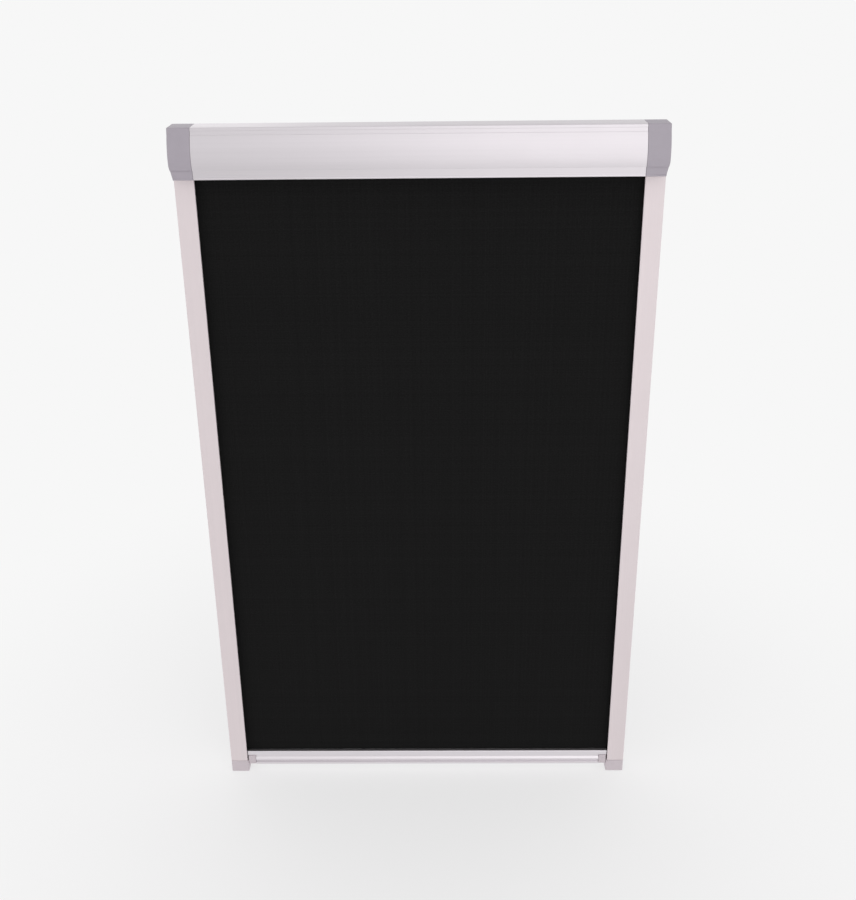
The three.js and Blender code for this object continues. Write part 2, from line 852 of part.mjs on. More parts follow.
function pileStrip(face, way) {
  const skin = way * (face - channelWall - seatGap);
  const backing = skin - way * pileBackingThickness;
  const middle = halfWidth - channelFace + slotWall + seatGap + pileBackingWidth / 2;
  const section = [
    [middle - pileBackingWidth / 2, skin],
    [middle + pileBackingWidth / 2, skin],
    [middle + pileBackingWidth / 2, backing],
    [middle + pileWidth / 2, backing],
    [middle + pileWidth / 2, way * pileTipGap],
    [middle - pileWidth / 2, way * pileTipGap],
    [middle - pileWidth / 2, backing],
    [middle - pileBackingWidth / 2, backing],
  ];
  return alongZ(outline(section), channelFoot + seatGap, channelTop - seatGap);
}

// The cap at a channel's foot: a cup that takes the shoe's runner, with a tenon in the channel.
function channelFootCap() {
  const inner = halfWidth - footReach;
  const floor = barFoot - seatGap;
  const tenonOuter = halfWidth - channelWall - seatGap;
  const tenonInner = tenonOuter - tenonThickness;
  const top = channelFoot - seatGap;
  const skinFront = -(channelFront - channelWall);
  const skinBack = backFace - channelWall;
  const plan = roundedRectangle(inner, halfWidth, -(channelFront + footProud), backFace, footRound);
  const neckSlot = neckThickness / 2 + runningGap;
  const tenon = block(
    tenonInner, tenonOuter, skinFront + tenonInset, skinBack - tenonInset, floor - overrun, channelFoot + tenonHeight,
  );
  const cup = cut(
    alongZ(outline(plan), -height, top),
    block(inner + footWall, tenonInner, skinFront, skinBack, floor, top + overrun),
    block(inner - overrun, inner + footWall + overrun, -neckSlot, neckSlot, floor, top + overrun),
  );
  return join(cup, tenon);
}

function buildChannels() {
  for (const [name, side] of sides) {
    add(blind, `side_channel_${name}`, mirrored(sideChannel(), side), finishes.silverAluminium);
    add(blind, `pile_strip_${name}_front`, mirrored(pileStrip(channelFront, -1), side), finishes.greyPile);
    add(blind, `pile_strip_${name}_back`, mirrored(pileStrip(backFace, 1), side), finishes.greyPile);
    add(blind, `channel_end_cap_${name}`, mirrored(channelFootCap(), side), finishes.paleGreyPlastic);
  }
}

// Bottom bar, with Z = 0 at its foot

function barOutline() {
  const mouth = hemMouth / 2;
  const mouthDegrees = (Math.asin(mouth / hemPocketRadius) * 180) / Math.PI;
  const band = new THREE.QuadraticBezierCurve(
    new THREE.Vector2(-recessReach, bandTop),
    new THREE.Vector2(-(2 * bandReach - recessReach), (bandTop + bandFoot) / 2),
    new THREE.Vector2(-recessReach, bandFoot),
  );
  return [
    [-mouth, barHeight],
    ...arc(-(ledgeReach - ledgeRound), barHeight - ledgeRound, ledgeRound, 90, 180, 3),
    [-ledgeReach, barHeight - ledgeHeight],
    [-recessReach, barHeight - ledgeHeight],
    ...band.getPoints(8).map((point) => [point.x, point.y]),
    [-recessReach, lipTop],
    [-lipReach, lipTop - lipSlope],
    ...arc(-(lipReach - lipRound), lipRound, lipRound, 180, 270, 3),
    [barBack - barCorner, 0],
    [barBack, barCorner],
    [barBack, barHeight - barCorner],
    [barBack - barCorner, barHeight],
    [mouth, barHeight],
    ...arc(0, hemCentre, hemPocketRadius, 90 - mouthDegrees, 90 + mouthDegrees - 360, smallSides),
  ];
}

function bottomBar() {
  const chamber = rectangle(-chamberFront, chamberBack, chamberFoot, chamberTop);
  const bar = alongX(outline(barOutline(), [chamber]), -barHalf, barHalf);
  const notches = [-1, 1].map((side) => {
    const ends = [side * notchStart, side * (barHalf + overrun)].sort((a, b) => a - b);
    return block(ends[0], ends[1], -bandReach - overrun, barBack + overrun, -overrun, notchHeight);
  });
  return cut(bar, ...notches);
}

function hemSpline() {
  return rodX(0, hemCentre, hemSplineRadius, -barHalf, barHalf, smallSides);
}

const runnerOuter = halfWidth - runnerOuterGap;
const runnerInner = runnerOuter - runnerLength;
const shoeTop = notchHeight - seatGap;
const padX = (runnerOuter + runnerInner) / 2;
const padZ = shoeTop / 2;
const padFace = backFace - channelWall - seatGap;

// An end shoe: a plug in the bar's chamber, the visible end, a neck past the pile and a runner.
function endShoe() {
  const from = notchStart + seatGap;
  const to = halfWidth - footReach - shoeGapAtFoot;
  const visible = outline(roundedRectangle(-shoeFront, barBack, 0, shoeTop, shoeRound));
  const runner = outline(roundedRectangle(-runnerFront, runnerBack, 0, shoeTop, shoeRound));
  const plug = outline(rectangle(
    -(chamberFront - seatGap), chamberBack - seatGap, chamberFoot + seatGap, chamberTop - seatGap,
  ));
  const pocket = padSide / 2 + seatGap;
  const body = join(
    alongX(visible, from, to),
    alongX(plug, from - shoePlugLength, from + overrun),
    block(to - overrun, runnerInner + overrun, -neckThickness / 2, neckThickness / 2, neckInset, shoeTop - neckInset),
    alongX(runner, runnerInner, runnerOuter),
  );
  return cut(
    body,
    block(padX - pocket, padX + pocket, runnerBack - pocketDepth, runnerBack + overrun, padZ - pocket, padZ + pocket),
  );
}

// The brake pad, with a crowned face towards the channel's back flange.
function brakePad() {
  const half = padSide / 2;
  const shape = outline(rectangle(-half, half, -half, half));
  const depth = padThickness - padCrown;
  const settings = { depth, bevelSegments: 2, bevelSize: padCrown, bevelThickness: padCrown };
  const geometry = new THREE.ExtrudeGeometry(shape, { ...settings, bevelOffset: -padCrown });
  const crowned = geometry.rotateX(radians(-90)).translate(padX, padFace - depth - padCrown, padZ);
  const back = padFace - padThickness;
  return cut(crowned, block(padX - padSide, padX + padSide, back - padSide, back, padZ - padSide, padZ + padSide));
}

function brakeSpring() {
  const from = runnerBack - pocketDepth + seatGap;
  const to = padFace - padThickness - seatGap;
  const coil = coilSpring(brakeSpringRadius, brakeWire, to - from, brakeCoils);
  return coil.rotateZ(radians(90)).translate(padX, from, padZ);
}

function buildBottomBar() {
  const bar = group([0, 0, barFoot]);
  add(bar, "bottom_bar", bottomBar(), finishes.silverAluminium);
  add(bar, "hem_spline", hemSpline(), finishes.nylon);
  for (const [name, side] of sides) {
    add(bar, `end_shoe_${name}`, mirrored(endShoe(), side), finishes.paleGreyPlastic);
    add(bar, `brake_pad_${name}`, mirrored(brakePad(), side), finishes.nylon);
    add(bar, `brake_spring_${name}`, mirrored(brakeSpring(), side), finishes.steel);
  }
}

buildCassette();
buildRoller();
buildCloth();
buildChannels();
buildBottomBar();

const travel = height - barAboveFoot - barHeight - cassetteHeight - dockGap;
console.log(`bottom bar travel ${travel.toFixed(1)} mm, roller axis ${rollerY.toFixed(3)}, ${rollerZ}`);

export default blind;
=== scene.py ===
"""The looks of a spring roller blind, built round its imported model.

Metres, in the model's own frame: X runs across the blind, Y from its front to its back and Z up.
The origin is the middle of the cassette's top face, in the plane of the cloth.
"""

import logging
import math
from collections.abc import Callable, Iterable, Mapping
from dataclasses import dataclass, field
from enum import Enum

import bmesh
import bpy
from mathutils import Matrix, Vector, geometry
from mathutils.bvhtree import BVHTree


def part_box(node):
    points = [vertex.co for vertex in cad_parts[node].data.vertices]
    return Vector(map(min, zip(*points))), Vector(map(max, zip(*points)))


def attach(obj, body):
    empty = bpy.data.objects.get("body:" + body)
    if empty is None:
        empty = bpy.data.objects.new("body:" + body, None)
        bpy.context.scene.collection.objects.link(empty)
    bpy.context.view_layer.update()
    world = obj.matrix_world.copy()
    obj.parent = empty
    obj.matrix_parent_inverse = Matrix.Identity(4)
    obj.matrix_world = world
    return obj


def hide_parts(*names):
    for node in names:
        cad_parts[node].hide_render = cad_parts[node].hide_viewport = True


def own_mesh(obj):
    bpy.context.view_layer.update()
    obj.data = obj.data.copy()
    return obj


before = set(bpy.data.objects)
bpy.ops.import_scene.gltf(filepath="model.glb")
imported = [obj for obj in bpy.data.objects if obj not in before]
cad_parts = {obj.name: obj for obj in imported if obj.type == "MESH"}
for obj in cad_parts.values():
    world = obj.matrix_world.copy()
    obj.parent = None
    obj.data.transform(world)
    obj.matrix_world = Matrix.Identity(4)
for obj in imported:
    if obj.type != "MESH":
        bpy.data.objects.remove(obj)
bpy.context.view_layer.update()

log = logging.getLogger("blind")

Triple = tuple[float, float, float]
Node = bpy.types.Node
Socket = bpy.types.NodeSocket
Tree = bpy.types.NodeTree
Inputs = Mapping[str | int, object]
Given = Mapping[str, Socket]

MM = 0.001
WELD = 1e-6
QUARTER = math.radians(90)
WHITE = (1, 1, 1, 1)
SIDES = ("left", "right")


def linear(red: int, green: int, blue: int) -> Triple:
    """Turns an sRGB colour into linear light.

    Args:
        red: its red, from 0 to 255.
        green: its green.
        blue: its blue.

    Returns:
        The linear colour, each channel from 0 to 1.
    """
    full, knee, slope, offset, power = 255, 0.04045, 12.92, 0.055, 2.4

    def channel(value: int) -> float:
        """Returns one channel in linear light."""
        share = value / full
        return share / slope if share <= knee else ((share + offset) / (1 + offset)) ** power
    return (channel(red), channel(green), channel(blue))


class Run(Enum):
    """The way a profile was drawn through its die."""

    ACROSS = "X"
    UPRIGHT = "Z"


class Plan(Enum):
    """Where a cloth's threads take their places from."""

    HANGING = "object coordinates"
    WOUND = "its own map"


class Making(Enum):
    """How a rigid piece was made, which its name ends in."""

    DRAWN = "drawn"
    MADE = "made"


class Graph:
    """Adds nodes to one tree and links them."""

    def __init__(self, tree: Tree) -> None:
        """Keeps the tree that the nodes go into."""
        self.tree = tree

    def feed(self, node: Node, inputs: Inputs) -> Node:
        """Sets or links inputs of a node.

        Args:
            node: the node.
            inputs: a value or another node's output for each input, by name or place.

        Returns:
            The same node.
        """
        for key, value in inputs.items():
            if isinstance(value, Socket):
                self.tree.links.new(value, node.inputs[key])
            else:
                node.inputs[key].default_value = value
        return node

    def add(self, kind: str, inputs: Inputs | None = None, **settings: object) -> Node:
        """Adds one node.

        Args:
            kind: the node's type.
            inputs: a value or another node's output for each input, by name or place.
            **settings: the node's own settings.

        Returns:
            The node.
        """
        node = self.tree.nodes.new(kind)
        for name, value in settings.items():
            setattr(node, name, value)
        return self.feed(node, inputs or {})

    def maths(self, operation: str, *terms: object) -> Socket:
        """Returns the outcome of a calculation on sockets and numbers."""
        return self.add("ShaderNodeMath", dict(enumerate(terms)), operation=operation).outputs[0]

    def times(self, first: Socket, second: object) -> Socket:
        """Returns a number times another."""
        return self.maths("MULTIPLY", first, second)

    def blend(self, first: Socket, second: Socket, share: float) -> Socket:
        """Returns a share of the first number and the rest of the second."""
        return self.maths("MULTIPLY_ADD", first, share, self.times(second, 1 - share))

    def scaled(self, vector: Socket, by: object) -> Socket:
        """Returns a vector times another, axis by axis."""
        return self.add("ShaderNodeVectorMath", {0: vector, 1: by}, operation="MULTIPLY").outputs[0]

    def joined(self, **axes: object) -> Socket:
        """Returns a vector from its X, Y and Z."""
        return self.add("ShaderNodeCombineXYZ", axes).outputs[0]

    def spread(self, value: Socket, low: float, high: float) -> Socket:
        """Returns a value from 0 to 1 stretched to run from low to high."""
        inputs = {"Value": value, "To Min": low, "To Max": high}
        return self.add("ShaderNodeMapRange", inputs).outputs["Result"]

    def stretched(self, value: Socket, low: float, high: float) -> Socket:
        """Returns a value's share of the way from low to high, from 0 to 1."""
        inputs = {"Value": value, "From Min": low, "From Max": high}
        return self.add("ShaderNodeMapRange", inputs).outputs["Result"]

    def noise(self, place: Socket, scale: object, detail: float, roughness: float = 0.5) -> Socket:
        """Returns cloudy noise, from 0 to 1."""
        inputs = {"Vector": place, "Scale": scale, "Detail": detail, "Roughness": roughness}
        return self.add("ShaderNodeTexNoise", inputs).outputs[0]

    def mixed(self, share: object, first: object, second: object, how: str = "MIX") -> Socket:
        """Returns two colours mixed. The node takes them in places 6 and 7 and gives one in place 2."""
        inputs = {0: share, 6: first, 7: second}
        return self.add("ShaderNodeMix", inputs, data_type="RGBA", blend_type=how).outputs[2]

    def use(self, group: Tree, inputs: Inputs) -> Given:
        """Places a shared effect in the tree and returns its outputs."""
        kind = f"{self.tree.bl_idname.removesuffix('Tree')}Group"
        return self.feed(self.add(kind, node_tree=group), inputs).outputs


def fresh_graph(holder: bpy.types.Material | bpy.types.World) -> Graph:
    """Empties the nodes of a material or a world.

    Args:
        holder: the material or the world.

    Returns:
        The graph to build in.
    """
    holder.use_nodes = True
    holder.node_tree.nodes.clear()
    return Graph(holder.node_tree)


@dataclass(frozen=True)
class Port:
    """One named input or output of a group."""

    name: str
    kind: str
    start: object = None


def number(name: str, start: float = 0.0) -> Port:
    """A port for a number."""
    return Port(name, "NodeSocketFloat", start)


def whole(name: str) -> Port:
    """A port for a whole number."""
    return Port(name, "NodeSocketInt", 0)


def vector(name: str) -> Port:
    """A port for a vector."""
    return Port(name, "NodeSocketVector", (0.0, 0.0, 0.0))


MESH = Port("Mesh", "NodeSocketGeometry")
FINISH = Port("Finish", "NodeSocketMaterial")


def group_tree(kind: str, takes: Iterable[Port], gives: Iterable[Port]) -> tuple[Graph, Given]:
    """Starts a group with named ports.

    Args:
        kind: ShaderNodeTree or GeometryNodeTree.
        takes: its inputs.
        gives: its outputs.

    Returns:
        The graph to build in, and what its inputs give.
    """
    tree = bpy.data.node_groups.new("Group", kind)
    for way, ports in (("INPUT", takes), ("OUTPUT", gives)):
        for port in ports:
            socket = tree.interface.new_socket(name=port.name, in_out=way, socket_type=port.kind)
            if way == "INPUT" and port.start is not None:
                socket.default_value = port.start
    return Graph(tree), tree.nodes.new("NodeGroupInput").outputs


def effect(takes: Iterable[Port], gives: Iterable[Port]) -> tuple[Graph, Given]:
    """Starts an effect on a surface."""
    return group_tree("ShaderNodeTree", takes, gives)


def form(takes: Iterable[Port]) -> tuple[Graph, Given]:
    """Starts a form that has a place, a turn and a finish."""
    return group_tree("GeometryNodeTree", [*takes, vector("Place"), vector("Turn"), FINISH], [MESH])


def give(graph: Graph, outputs: dict[str, Socket]) -> Tree:
    """Links a group's outputs, and returns the finished group."""
    graph.feed(graph.add("NodeGroupOutput"), outputs)
    return graph.tree


def shared(build: Callable[[], Tree]) -> Tree:
    """Finds the group that is named after the function that builds it, or builds it the first time.

    Args:
        build: the function.

    Returns:
        The group.
    """
    name = build.__name__.removesuffix("_tree").replace("_", " ")
    tree = bpy.data.node_groups.get(name) or build()
    tree.name = name
    return tree


# Effects that more than one finish uses


def drawn_grain() -> Tree:
    """Builds fine lines along a drawn profile's run, from 0 to 1.

    Returns:
        The group.
    """
    graph, given = effect([vector("Vector"), vector("Scale")], [number("Streak")])
    place = graph.scaled(given["Vector"], given["Scale"])
    fine = graph.noise(place, scale=1.0, detail=3.0, roughness=0.65)
    broad = graph.noise(place, scale=0.09, detail=2.0)
    both = graph.blend(fine, broad, share=0.6)
    return give(graph, {"Streak": graph.stretched(both, low=0.3, high=0.7)})


def clouding() -> Tree:
    """Builds soft patches of a given size, from 0 to 1.

    Returns:
        The group.
    """
    graph, given = effect([vector("Vector"), number("Size", 30 * MM)], [number("Patch")])
    scale = graph.maths("DIVIDE", 1.0, given["Size"])
    return give(graph, {"Patch": graph.noise(given["Vector"], scale, detail=2.5)})


def moulded_skin() -> Tree:
    """Builds the eroded texture of a mould, as a height from 0 to 1.

    Returns:
        The group.
    """
    graph, given = effect([vector("Vector"), number("Size", 0.4 * MM)], [number("Height")])
    scale = graph.maths("DIVIDE", 1.0, given["Size"])
    inputs = {"Vector": given["Vector"], "Scale": scale}
    grains = graph.add("ShaderNodeTexVoronoi", inputs, feature="SMOOTH_F1")
    rough = graph.noise(given["Vector"], scale, detail=2.0)
    return give(graph, {"Height": graph.blend(grains.outputs["Distance"], rough, share=0.6)})


def plain_weave() -> Tree:
    """Builds threads over and under each other in a vector's X and Y.

    Returns:
        The group, which gives a height, and a shade for each thread.
    """
    crown, dip = 0.6, 0.3
    takes = [vector("Vector"), number("Pitch", 0.5 * MM)]
    graph, given = effect(takes, [number("Height"), number("Shade")])
    place = graph.add("ShaderNodeSeparateXYZ", {0: given["Vector"]}).outputs
    across = graph.maths("DIVIDE", place["X"], given["Pitch"])
    along = graph.maths("DIVIDE", place["Y"], given["Pitch"])
    cells = [graph.maths("FLOOR", across), graph.maths("FLOOR", along)]
    over = graph.maths("FLOORED_MODULO", graph.maths("ADD", *cells), 2.0)

    def bulge(turns: Socket) -> Socket:
        """Returns a rise and fall for each half turn."""
        return graph.maths("ABSOLUTE", graph.maths("SINE", graph.times(turns, math.pi)))

    def thread(across_it: Socket, along_it: Socket) -> Socket:
        """Returns the height of a thread from its bulges."""
        return graph.times(graph.maths("POWER", across_it, crown), graph.maths("POWER", along_it, dip))

    def either(when_under: Socket, when_over: Socket) -> Socket:
        """Returns the first where the weft is under and the second where it is over."""
        return graph.add("ShaderNodeMix", {0: over, 2: when_under, 3: when_over}).outputs[0]

    warp, weft = bulge(across), bulge(along)
    height = either(thread(weft, warp), thread(warp, weft))
    shades = [graph.add("ShaderNodeTexWhiteNoise", {"W": cell}, noise_dimensions="1D").outputs[0]
              for cell in cells]
    return give(graph, {"Height": height, "Shade": either(shades[1], shades[0])})


# Finishes


@dataclass(frozen=True)
class Surface:
    """A material under way: its graph, its shader and the object coordinates."""

    graph: Graph
    shader: Node
    place: Socket

    def feed(self, inputs: Inputs) -> None:
        """Sets or links inputs of the shader."""
        self.graph.feed(self.shader, inputs)

    def relieve(self, height: Socket, depth: float) -> None:
        """Gives the surface a relief of that depth."""
        inputs = {"Height": height, "Distance": depth, "Strength": 1.0}
        self.feed({"Normal": self.graph.add("ShaderNodeBump", inputs).outputs[0]})

    def patches(self, size: float) -> Socket:
        """Returns soft patches of that size."""
        return self.graph.use(shared(clouding), {"Vector": self.place, "Size": size})["Patch"]

    def skin(self, size: float) -> Socket:
        """Returns the height of a moulded skin with grains of that size."""
        return self.graph.use(shared(moulded_skin), {"Vector": self.place, "Size": size})["Height"]


@dataclass(frozen=True)
class Finish:
    """What every finish has: a name, the record's slot, a linear colour, a roughness and their spreads."""

    name: str
    slot: str
    colour: Triple
    roughness: float
    colour_spread: float = 0.04
    gloss_spread: float = 0.05

    def material(self) -> bpy.types.Material:
        """Returns the finish's material, built the first time."""
        return bpy.data.materials.get(self.name) or self.built()

    def built(self) -> bpy.types.Material:
        """Builds the material with a plain shader and lets the finish wire it.

        Returns:
            The material.
        """
        material = bpy.data.materials.new(self.name)
        graph = fresh_graph(material)
        inputs = {"Base Color": (*self.colour, 1), "Roughness": self.roughness}
        shader = graph.add("ShaderNodeBsdfPrincipled", inputs)
        graph.add("ShaderNodeOutputMaterial", {"Surface": shader.outputs[0]})
        self.wire(Surface(graph, shader, graph.add("ShaderNodeTexCoord").outputs["Object"]))
        return material

    def wire(self, surface: Surface) -> None:
        """Wires the finish's own colour, roughness and relief."""
        raise NotImplementedError

    def shaded(self, graph: Graph, share: Socket) -> Socket:
        """Returns the colour between its darker and its lighter shade.

        Args:
            graph: the material's graph.
            share: 0 for the darker and 1 for the lighter.

        Returns:
            The colour.
        """
        darker = tuple(channel * (1 - self.colour_spread) for channel in self.colour)
        lighter = tuple(min(1.0, channel * (1 + self.colour_spread)) for channel in self.colour)
        return graph.mixed(share, (*darker, 1), (*lighter, 1))

    def glossed(self, graph: Graph, share: Socket) -> Socket:
        """Returns the roughness, less where the share is 0 and more where it is 1."""
        return graph.spread(share, self.roughness - self.gloss_spread, self.roughness + self.gloss_spread)


@dataclass(frozen=True)
class DrawnMetal(Finish):
    """Extruded or drawn metal: fine lines along its run, and soft clouding in its sheen."""

    run: Run = Run.ACROSS
    line_width: float = 0.35 * MM
    line_length: float = 0.3
    line_depth: float = 0.006 * MM
    colour_spread: float = 0.035
    gloss_spread: float = 0.06
    patch: float = 0.05

    def wire(self, surface: Surface) -> None:
        """Wires lines along the run into colour, roughness and relief.

        Args:
            surface: the material under way.
        """
        graph = surface.graph
        fine, slow = 1 / self.line_width, 1 / self.line_length
        scale = {Run.ACROSS: (slow, fine, fine), Run.UPRIGHT: (fine, fine, slow)}[self.run]
        streak = graph.use(shared(drawn_grain), {"Vector": surface.place, "Scale": scale})["Streak"]
        patch = surface.patches(self.patch)
        surface.feed({
            "Metallic": 1.0, "Base Color": self.shaded(graph, streak),
            "Roughness": self.glossed(graph, graph.blend(streak, patch, share=0.5))})
        surface.relieve(streak, self.line_depth)


@dataclass(frozen=True)
class PlatedSteel(Finish):
    """Zinc-plated steel: patchy sheen with a fine orange peel."""

    patch: float = 4 * MM
    colour_spread: float = 0.08
    gloss_spread: float = 0.08
    peel: float = 0.3 * MM
    peel_depth: float = 0.004 * MM

    def wire(self, surface: Surface) -> None:
        """Wires patches into colour and roughness, and the peel into relief.

        Args:
            surface: the material under way.
        """
        patch = surface.patches(self.patch)
        height = surface.skin(self.peel)
        surface.feed({
            "Metallic": 1.0, "Base Color": self.shaded(surface.graph, patch),
            "Roughness": self.glossed(surface.graph, patch)})
        surface.relieve(height, self.peel_depth)


@dataclass(frozen=True)
class Moulded(Finish):
    """Moulded plastic: the mould's fine texture and a faint clouding."""

    grain: float = 0.45 * MM
    grain_depth: float = 0.02 * MM
    patch: float = 12 * MM

    def wire(self, surface: Surface) -> None:
        """Wires clouding into colour and roughness, and the skin into relief.

        Args:
            surface: the material under way.
        """
        graph = surface.graph
        patch = surface.patches(self.patch)
        height = surface.skin(self.grain)
        surface.feed({
            "Base Color": self.shaded(graph, patch),
            "Roughness": self.glossed(graph, graph.blend(height, patch, share=0.5))})
        surface.relieve(height, self.grain_depth)


@dataclass(frozen=True)
class CoatedWeave(Finish):
    """Blackout cloth: a coated plain weave with uneven threads, painted shade in its hollows and painted
    light on its crowns.
    """

    plan: Plan = Plan.HANGING
    pitch: float = 0.55 * MM
    thread_depth: float = 0.09 * MM
    colour_spread: float = 0.2
    slub: Triple = (2.5 * MM, 1.6 * MM, 2.5 * MM)
    slub_spread: float = 0.8
    painted_pit_shade: float = 0.7
    painted_crown_light: float = 1.1
    sheen: float = 0.02
    gloss: float = 0.06

    def laid(self, surface: Surface) -> Socket:
        """Works out the places of the threads, in X and Y.

        Args:
            surface: the material under way.

        Returns:
            The vector that the weave is laid in.
        """
        graph = surface.graph
        if self.plan is Plan.WOUND:
            return graph.add("ShaderNodeUVMap", uv_map="UVMap").outputs[0]
        split = graph.add("ShaderNodeSeparateXYZ", {0: surface.place}).outputs
        return graph.joined(X=split["X"], Y=split["Z"])

    def wire(self, surface: Surface) -> None:
        """Wires the weave into relief, its threads and slubs into colour, and paints shade in its hollows
        and light on its crowns.

        Args:
            surface: the material under way.
        """
        graph = surface.graph
        surface.feed({"Specular IOR Level": self.gloss, "Sheen Weight": self.sheen})
        laid = self.laid(surface)
        weave = graph.use(shared(plain_weave), {"Vector": laid, "Pitch": self.pitch})
        stretched = graph.scaled(laid, tuple(1 / size for size in self.slub))
        slubs = graph.noise(stretched, scale=1.0, detail=3.0, roughness=0.7)
        threads = self.shaded(graph, weave["Shade"])
        uneven = graph.spread(slubs, 1 - self.slub_spread, 1 + self.slub_spread)
        # Painted shade and painted highlight: the colour is darker where the weave dips and lighter on its
        # crowns.
        painted_weave_shade = graph.spread(weave["Height"], self.painted_pit_shade, self.painted_crown_light)
        surface.feed({"Base Color": graph.mixed(1.0, threads, graph.times(uneven, painted_weave_shade), "MULTIPLY")})
        surface.relieve(weave["Height"], self.thread_depth)


@dataclass(frozen=True)
class Brush(Finish):
    """Short pile: each strand a little lighter or darker than the next."""

    strand: float = 0.25 * MM
    colour_spread: float = 0.35
    gloss_spread: float = 0.1
    sheen: float = 0.2

    def wire(self, surface: Surface) -> None:
        """Wires a fine clouding into the colour and the roughness.

        Args:
            surface: the material under way.
        """
        graph = surface.graph
        patch = surface.patches(self.strand)
        surface.feed({
            "Sheen Weight": self.sheen, "Base Color": self.shaded(graph, patch),
            "Roughness": graph.spread(patch, self.roughness - self.gloss_spread, self.roughness)})


@dataclass(frozen=True)
class Finishes:
    """Every finish of the blind."""

    cassette: Finish = DrawnMetal("Anodised cassette", "silver_aluminium", linear(208, 203, 207), 0.38)
    bar: Finish = DrawnMetal("Anodised bar", "silver_aluminium", linear(219, 214, 218), 0.4)
    channel: Finish = DrawnMetal(
        "Anodised channel", "silver_aluminium", linear(222, 213, 215), 0.65, run=Run.UPRIGHT)
    tube: Finish = DrawnMetal(
        "Mill tube", "mill_aluminium", linear(205, 206, 208), 0.3, line_depth=0.008 * MM)
    cap: Finish = Moulded("Grey cap plastic", "grey_plastic", linear(166, 159, 168), 0.5)
    foot: Finish = Moulded("Pale grey plastic", "pale_grey_plastic", linear(207, 197, 202), 0.5)
    cloth: Finish = CoatedWeave("Blackout cloth", "black_cloth", linear(24, 24, 24), 0.9)
    wound: Finish = CoatedWeave("Wound cloth", "black_cloth", linear(24, 24, 24), 0.9, plan=Plan.WOUND)
    steel: Finish = PlatedSteel("Zinc steel", "steel", linear(178, 181, 186), 0.34)
    nylon: Finish = Moulded("Natural nylon", "nylon", linear(226, 223, 214), 0.42, grain_depth=0.008 * MM)
    pile: Finish = Brush("Grey pile", "grey_pile", linear(112, 113, 118), 0.95)


# Meshes


def placed(name: str, data: bpy.types.ID) -> bpy.types.Object:
    """Puts a mesh, a lamp or a camera in the scene, at the origin.

    Args:
        name: its name.
        data: the mesh, lamp or camera.

    Returns:
        The object.
    """
    piece = bpy.data.objects.new(name, data)
    bpy.context.scene.collection.objects.link(piece)
    return piece


def settle(piece: bpy.types.Object) -> bpy.types.Object:
    """Turns a piece's modifiers into plain mesh.

    Args:
        piece: the piece.

    Returns:
        The same piece.
    """
    graph = bpy.context.evaluated_depsgraph_get()
    mesh = bpy.data.meshes.new_from_object(piece.evaluated_get(graph))
    mesh.name = piece.name
    piece.modifiers.clear()
    piece.data = mesh
    return piece


def finished(piece: bpy.types.Object, finish: Finish, body: str, node: str) -> None:
    """Gives a piece its finish and its place in the model.

    Args:
        piece: the piece, in place, with a plain mesh.
        finish: what it is made of.
        body: the body that it moves with.
        node: the node that it replaces.
    """
    piece.data.materials.clear()
    piece.data.materials.append(finish.material())
    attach(piece, body)
    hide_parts(node)
    piece.data.calc_loop_triangles()
    log.info("%s: %d triangles on %s", piece.name, len(piece.data.loop_triangles), body)


def bench_copy(node: str) -> bmesh.types.BMesh:
    """Copies a node's solid with its corners joined and no needless edges on its flat faces.

    Args:
        node: the node.

    Returns:
        The copy.
    """
    flat, most_corners = math.radians(0.4), 4
    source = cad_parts[node].data
    shape = bmesh.new()
    corners = [shape.verts.new(corner.co) for corner in source.vertices]
    for polygon in source.polygons:
        shape.faces.new([corners[i] for i in polygon.vertices])
    bmesh.ops.remove_doubles(shape, verts=shape.verts, dist=WELD)
    bmesh.ops.dissolve_limit(shape, angle_limit=flat, verts=shape.verts, edges=shape.edges)
    bmesh.ops.triangulate(shape, faces=[face for face in shape.faces if len(face.verts) > most_corners])
    shape.edges.index_update()
    return shape


def apart(place: Vector, start: Vector, end: Vector) -> float:
    """Returns how far a place is from an edge."""
    foot, share = geometry.intersect_point_line(place, start, end)
    return (place - (start if share < 0 else end if share > 1 else foot)).length


